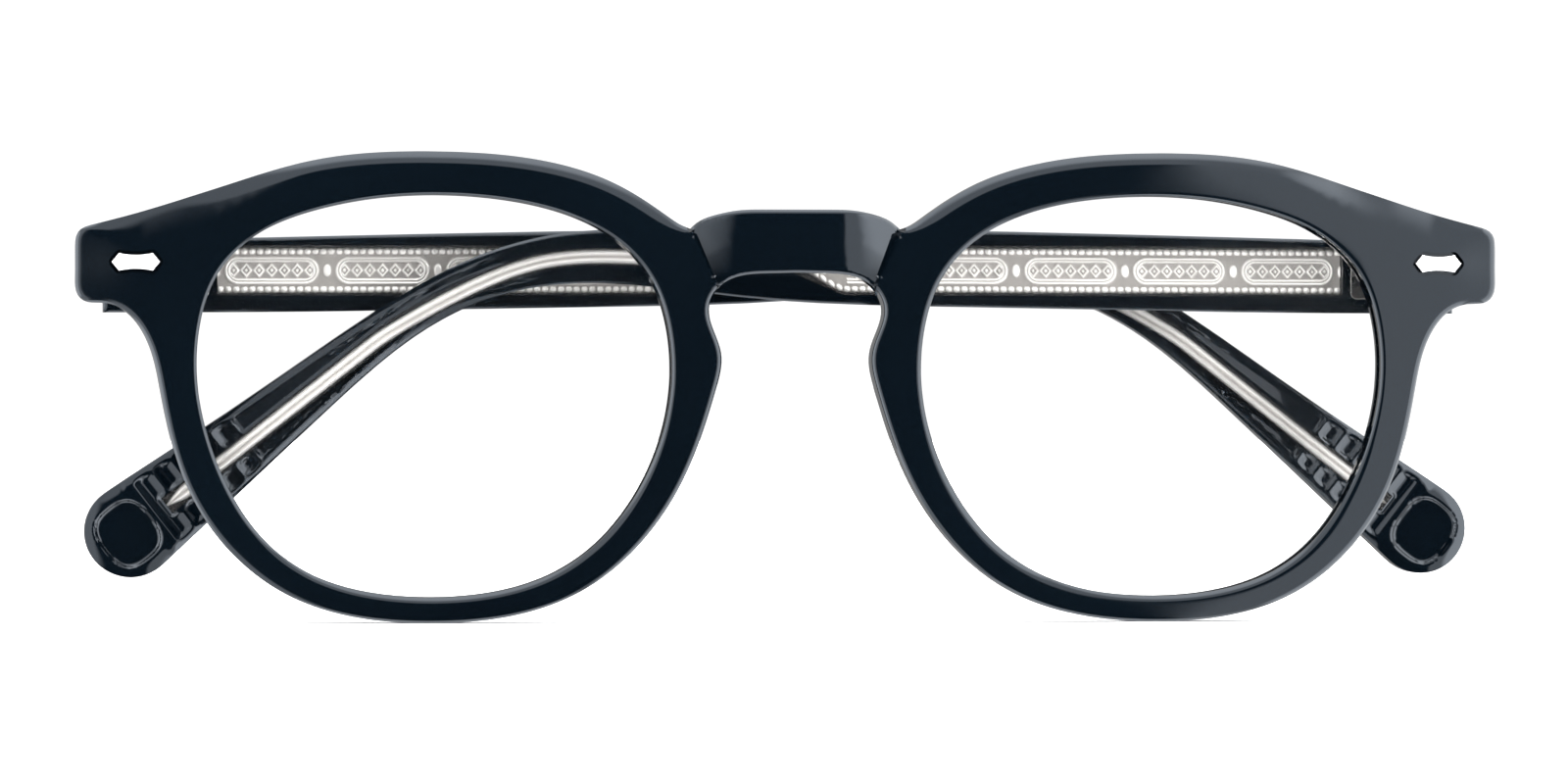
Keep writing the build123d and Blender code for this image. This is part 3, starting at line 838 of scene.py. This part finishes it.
def temple_relief(points, gap, window_gap, wire):
    """Depth of the inner face's shapes: side facets, ribs with scallops, and the dish in the tip."""
    along, across = from_tip(points)
    arm = smoothstep(86, 100, points[:, 0])
    tip = 1 - smoothstep(RIB_FIRST - 1.4, RIB_FIRST - 0.4, along)
    bevel = 0.22 + 0.16 * arm
    edge = bevel * np.clip(1 - gap / (0.45 + 0.3 * arm + 0.45 * tip), 0, 1) ** 1.4
    above = np.where(points[:, 1] > np.interp(points[:, 0], wire[:, 0], wire[:, 1]), 1, -1)
    facet = 0.36 + FACET_SLOPE * above * (np.minimum(window_gap, 2.2) - 1.1)
    facet *= arm * smoothstep(0.70, 0.95, gap) * smoothstep(0.0, 0.2, window_gap)
    facet *= smoothstep(RIBS_END + 0.1, RIBS_END + 0.5, along)
    turn = (along - RIB_FIRST) / RIB_PITCH
    valley = RIB_DEPTH * (np.sqrt(np.sin(pi * turn) ** 2 + 0.03) - 0.17)
    scallops = valley * smoothstep(0.4, 1.1, gap) * smoothstep(0.0, 0.5, window_gap)
    scallops *= (turn > 0) & (turn < RIB_COUNT)
    reach_along = (np.abs(along + DISH_BACK) / DISH_HALF[0]) ** DISH_POWER
    reach_across = (np.abs(across) / DISH_HALF[1]) ** DISH_POWER
    reach = (reach_along + reach_across) ** (1 / DISH_POWER)
    dish = DISH_DEPTH * smoothstep(0.0, DISH_WALL, 1 - reach)
    return 0.04 + edge + facet + scallops + dish


def dense_tip():
    """Even, close points over the ribs and the dish."""
    along = np.arange(-TIP_BEYOND, RIBS_END + TIP_MARGIN, TIP_STEP)
    a, b = np.meshgrid(along, np.arange(-TIP_HALF, TIP_HALF, TIP_STEP))
    b[:, ::2] += TIP_STEP / 2
    return np.array(TIP_CENTRE) - a.reshape(-1, 1) * ARM_WAY + b.reshape(-1, 1) * ARM_ACROSS


SHELL_RINGS = (0.1, 0.22, 0.36, 0.52, 0.7, 0.82, 0.95)
BACK_RINGS = (0.08, 0.2, 0.4, 0.7, 1.1)


def make_temple(side):
    """One temple's black body. Returns its window's outline and the wire's line, for the pieces inside."""
    node, flat = f"temple_shell_{side}", to_temple(side)
    outer = smooth_loop(face_loops(node, flat, level(0), 0.03)[0], 0.3)
    pocket = face_loops(node, flat, level(INLAY_DEPTH), 0.03)[0]
    window = smooth_loop(pocket[pocket[:, 0] > WINDOW_U[0] - 0.02], 0.3)
    shell = Sheet(outer, [window], SHELL_RINGS, 0.7, dense_tip(), in_tip)
    floor = Sheet(window, (), (), 0.9)
    back = Sheet(outer, (), BACK_RINGS, 1.2)
    wire = wire_line()
    gaps = shell.edge_distance([0]), shell.edge_distance([1])
    heights = temple_relief(shell.points, *gaps, wire)
    back_heights = TEMPLE_THICK - 0.5 * np.clip(1 - back.edge_distance() / 1.3, 0, 1) ** 2
    builder = Builder()
    face = builder.surface(shell, heights)
    base = builder.surface(floor, np.full(len(floor.points), INLAY_DEPTH + 0.03))
    rear = builder.surface(back, back_heights)
    builder.strip(face[shell.loops[1]][::-1], base[floor.loops[0]])
    rows = [face[shell.loops[0]]]
    start, end = heights[shell.loops[0]], back_heights[back.loops[0]]
    for part in (0.33, 0.67):
        rows.append(builder.add(np.column_stack((outer, start * (1 - part) + end * part))))
    rows.append(rear[back.loops[0]])
    for one, two in zip(rows, rows[1:]):
        builder.strip(one, two)
    piece = builder.build(f"temple_body_{side}", from_temple(side))
    finish_piece(piece, f"{side}_temple", BLACK, node)
    return window, wire


def make_inlay(side, window):
    """Clear strip over the plate and the wire, with a slightly crowned face."""
    outline = window + ring_normals(window) * 0.03
    sheet = Sheet(outline, (), (0.15, 0.35), 0.8)
    gap = sheet.edge_distance()
    builder = Builder()
    face = builder.surface(sheet, 0.10 - 0.08 * np.sqrt(np.clip(gap / 0.9, 0, 1)))
    under = builder.surface(sheet, np.full(len(sheet.points), INLAY_DEPTH - 0.02))
    builder.strip(face[sheet.loops[0]], under[sheet.loops[0]])
    piece = builder.build(f"clear_strip_{side}", from_temple(side))
    finish_piece(piece, f"{side}_temple", CLEAR, f"clear_inlay_{side}")


BEAD_PITCH = 0.78
BEAD_RADIUS = 0.32
BEAD_INSET = 0.38
CARTOUCHE_PITCH = 10.9
CARTOUCHE_FIRST = 5.4
CARTOUCHE_LENGTH = 9.2
CARTOUCHE_HEIGHT = 2.7
LOZENGE_PITCH = 1.25
PLATE_TAIL = 4.6


def plate_half(u):
    """Half height of the plate: even along the window, then a curved taper into the wire."""
    return PLATE_HALF - (PLATE_HALF - 0.35) * smoothstep(WINDOW_U[1] - 0.4, WINDOW_U[1] + PLATE_TAIL, u)


def ridge(value, place, width):
    """1 where value is at place, falling softly to 0 on both sides."""
    return np.exp(-(((value - place) / width) ** 2))


def plate_relief(u, w):
    """Height of the stamped pattern: bead rows, double-line cartouches, and lozenges inside them."""
    across = w - WINDOW_MIDDLE
    edge = plate_half(u) - np.abs(across)
    bead = ((u / BEAD_PITCH + 0.5) % 1 - 0.5) * BEAD_PITCH
    beads = np.sqrt(np.clip(BEAD_RADIUS**2 - bead**2 - (edge - BEAD_INSET) ** 2, 0, None)) * 0.9
    local = u - WINDOW_U[0] - CARTOUCHE_FIRST + CARTOUCHE_PITCH / 2
    local = local % CARTOUCHE_PITCH - CARTOUCHE_PITCH / 2
    radius = CARTOUCHE_HEIGHT / 2
    straight = np.maximum(np.abs(local) - (CARTOUCHE_LENGTH / 2 - radius), 0)
    within = radius - np.hypot(straight, across)
    border = 0.20 * ridge(within, 0.12, 0.10) + 0.17 * ridge(within, 0.42, 0.09)
    cell = (local / LOZENGE_PITCH + 0.5) % 1 - 0.5
    diamond = np.abs(cell * LOZENGE_PITCH) * 1.15 + np.abs(across)
    motif = 0.20 * ridge(diamond, 0.56, 0.12) + 0.20 * smoothstep(0, 0.12, 0.26 - diamond)
    motif *= smoothstep(0.50, 0.62, within)
    apart = np.hypot(np.abs(local) - CARTOUCHE_PITCH / 2, across * 0.6)
    between = 0.2 * smoothstep(0, 0.15, 0.42 - apart)
    along = (u < WINDOW_U[1] - 0.5) & (u > WINDOW_U[0])
    return beads + (border + motif + between) * along


PLATE_STEP = 0.085
PLATE_ROWS = 46
WIRE_POINTS = 20
WIRE_TALL = 0.45
WIRE_SUNK = 0.52
WIRE_DENT = 0.32
WIRE_POINT = 2.2


def make_core(side, wire):
    """Stamped plate and its wire, one metal piece under the clear strip."""
    stations = np.arange(WINDOW_U[0] + 0.1, WINDOW_U[1] + PLATE_TAIL, PLATE_STEP)
    shares = np.linspace(-1, 1, PLATE_ROWS)
    builder = Builder()
    bottom = INLAY_DEPTH - 0.01
    top = INLAY_DEPTH - PLATE_THICK + 0.22
    grid, tint = [], []
    for u in stations:
        centre = WINDOW_MIDDLE + 0.4 * smoothstep(WINDOW_U[1] - 1, WINDOW_U[1] + PLATE_TAIL, u)
        w = centre + shares * plate_half(u)
        relief = plate_relief(np.full(PLATE_ROWS, u), w - centre + WINDOW_MIDDLE)
        depth = top - relief
        depth[[0, -1]] = bottom
        grid.append(builder.add(np.column_stack((np.full(PLATE_ROWS, u), w, depth))))
        # Painted shade: the tint is low where the stamped relief is low, so the ground between the raised
        # pattern is darker.
        tint.append(np.clip(relief / 0.13, 0.15, 1))
    for one, two in zip(grid, grid[1:]):
        builder.strip(one, two, closed=False)
    builder.faces.append(tuple(grid[0]))
    builder.faces.append(tuple(grid[-1][::-1]))
    first = [column[0] for column in grid]
    last = [column[-1] for column in grid]
    builder.strip(first, last, closed=False)
    line = wire[wire[:, 0] > WINDOW_U[1] + PLATE_TAIL - 2.6]
    way = np.gradient(line, axis=0)
    way /= np.linalg.norm(way, axis=1)[:, None]
    aside = np.stack((-way[:, 1], way[:, 0]), 1)
    left = np.linalg.norm(line - np.array(WIRE_END), axis=1)
    taper = np.clip(left / WIRE_POINT, 0.05, 1) ** 0.8
    angles = np.linspace(0, 2 * pi, WIRE_POINTS, endpoint=False)
    profile = np.stack((np.cos(angles), np.sin(angles)), 1)
    lobes = np.abs(profile[:, 0]) ** 0.7 * np.sign(profile[:, 0])
    dent = WIRE_DENT * ridge(lobes, 0, 0.20)
    middle = INLAY_DEPTH - WIRE_SUNK
    rings = []
    for spot, normal, size in zip(line, aside, taper):
        across = lobes * WIRE_HALF * size
        depth = middle - profile[:, 1] * (WIRE_TALL - dent * 0.8) * size
        rings.append(builder.add(np.column_stack((spot + across[:, None] * normal, depth))))
        # Painted shade: the tint is low in the wire's groove.
        tint.append(np.clip(1.15 - dent * 3.0, 0.15, 1))
    for one, two in zip(rings, rings[1:]):
        builder.strip(one, two)
    builder.faces.append(tuple(rings[0]))
    builder.faces.append(tuple(rings[-1][::-1]))
    piece = builder.build(
        f"core_plate_{side}", from_temple(side), sharp=50, colour=np.concatenate(tint)
    )
    finish_piece(piece, f"{side}_temple", CORE, f"temple_core_{side}")


# ---------------------------------------------------------------- hinge hardware


def softened(node, name, body, material, width):
    """The CAD node's own shape with small rounded edges."""
    mesh = frame["nodes"][node].data.copy()
    mesh.name = name
    shape = bmesh.new()
    shape.from_mesh(mesh)
    bmesh.ops.remove_doubles(shape, verts=shape.verts, dist=1e-6)
    bmesh.ops.dissolve_limit(shape, angle_limit=radians(2), verts=shape.verts, edges=shape.edges)
    bmesh.ops.recalc_face_normals(shape, faces=shape.faces)
    shape.to_mesh(mesh)
    shape.free()
    piece = bpy.data.objects.new(name, mesh)
    bpy.context.scene.collection.objects.link(piece)
    bevel = piece.modifiers.new("edges", "BEVEL")
    bevel.width = width * MM
    bevel.segments = 2
    bevel.limit_method = "ANGLE"
    bevel.angle_limit = radians(50)
    mesh.shade_smooth()
    mesh.set_sharp_from_angle(angle=radians(50))
    finish_piece(piece, body, material, node)


# ---------------------------------------------------------------- stage, light and camera


FLOOR_HALF = 3.0
BACKDROP_WHITE = 1.15
FILL_LIGHT = 0.03


def make_floor():
    """A wide, plain pale floor under the rims. Glossy faces don't reflect it."""
    corners = [(x * FLOOR_HALF, y * FLOOR_HALF, 0) for x, y in ((-1, -1), (1, -1), (1, 1), (-1, 1))]
    mesh = bpy.data.meshes.new("floor")
    mesh.from_pydata(corners, [], [(0, 1, 2, 3)])
    floor = bpy.data.objects.new("floor", mesh)
    bpy.context.scene.collection.objects.link(floor)
    material, _ = new_material("floor_paint", Roughness=0.9, Base_Color=(0.93, 0.93, 0.93, 1))
    mesh.materials.append(material)
    floor.visible_glossy = False


def make_world():
    """Soft studio light: bright panels above, below and beside, and a plain white backdrop in view."""
    world = bpy.data.worlds.new("studio")
    bpy.context.scene.world = world
    world.use_nodes = True
    nodes, links = world.node_tree.nodes, world.node_tree.links
    nodes.clear()
    place = nodes.new("ShaderNodeTexCoord")
    split = nodes.new("ShaderNodeSeparateXYZ")
    links.new(place.outputs["Generated"], split.inputs[0])

    def maths(kind, a, b):
        """A maths node. Each of a and b is an output or a number."""
        node = nodes.new("ShaderNodeMath")
        node.operation = kind
        for socket, value in zip(node.inputs, (a, b)):
            if hasattr(value, "node"):
                links.new(value, socket)
            else:
                socket.default_value = value
        return node.outputs[0]

    def band(value, low, high, top):
        """A smooth climb from 0 to top as value goes from low to high."""
        node = nodes.new("ShaderNodeMapRange")
        node.interpolation_type = "SMOOTHSTEP"
        links.new(value, node.inputs["Value"])
        for key, number in zip(("From Min", "From Max", "To Min", "To Max"), (low, high, 0, top)):
            node.inputs[key].default_value = number
        return node.outputs["Result"]

    x, y, z = split.outputs
    down, across = maths("MULTIPLY", z, -1), maths("MULTIPLY", x, -1)
    above = maths("ADD", band(z, 0.38, 0.48, 2.0), band(z, 0.74, 0.90, 3.0))
    below = band(down, 0.78, 0.92, 4.0)
    right = maths("ADD", band(x, 0.30, 0.36, 1.9), band(x, 0.50, 0.60, 3.4))
    left = maths("ADD", band(across, 0.31, 0.50, 2.4), band(across, 0.74, 0.90, 3.0))
    behind = band(y, 0.15, 0.55, 1.2)
    total = maths("MAXIMUM", maths("MAXIMUM", above, below), maths("MAXIMUM", left, right))
    total = maths("MAXIMUM", total, behind)
    total = maths("MULTIPLY", total, maths("SUBTRACT", 1.0, band(y, 0.25, 0.65, 0.75)))
    total = maths("ADD", total, FILL_LIGHT)
    seen = nodes.new("ShaderNodeLightPath")
    mix = nodes.new("ShaderNodeMix")
    mix.data_type = "FLOAT"
    links.new(seen.outputs["Is Camera Ray"], mix.inputs["Factor"])
    links.new(total, mix.inputs["A"])
    mix.inputs["B"].default_value = BACKDROP_WHITE
    back = nodes.new("ShaderNodeBackground")
    back.inputs["Color"].default_value = (1, 1, 1, 1)
    out = nodes.new("ShaderNodeOutputWorld")
    links.new(mix.outputs["Result"], back.inputs["Strength"])
    links.new(back.outputs[0], out.inputs[0])


CAMERA_DISTANCE = 0.8
CAMERA_TURN = 5.5
VIEW_WIDTH = 0.1519
AIM = (-0.0013, 0.0224)


def make_camera():
    """A long lens, square on to the front but a little to the wearer's right."""
    data = bpy.data.cameras.new("camera")
    data.sensor_width = 36
    data.lens = 36 * CAMERA_DISTANCE / VIEW_WIDTH
    data.clip_start = 0.01
    data.clip_end = 20
    camera = bpy.data.objects.new("camera", data)
    turn = radians(CAMERA_TURN)
    target = Vector((AIM[0], FRONT_Y * MM, AIM[1]))
    camera.location = target + CAMERA_DISTANCE * Vector((-sin(turn), -cos(turn), 0))
    camera.rotation_euler = (pi / 2, 0, -turn)
    bpy.context.scene.collection.objects.link(camera)
    bpy.context.scene.camera = camera


make_front()
for side in SIDES:
    make_plaque(side)
    make_lens(side)
    make_nose_pad(side)
    window_outline, wire_path = make_temple(side)
    make_inlay(side, window_outline)
    make_core(side, wire_path)
    temple = f"{side}_temple"
    softened(f"front_hinge_leaf_{side}", f"front_leaf_{side}", "front", HINGE, 0.06)
    softened(f"temple_hinge_leaf_{side}", f"temple_leaf_{side}", temple, HINGE, 0.06)
    softened(f"hinge_screw_{side}", f"screw_{side}", "front", STEEL, 0.05)
    softened(f"temple_rivets_{side}", f"rivets_{side}", temple, STEEL, 0.08)
make_floor()
make_world()
make_camera()
bpy.context.scene.view_settings.view_transform = "Standard"
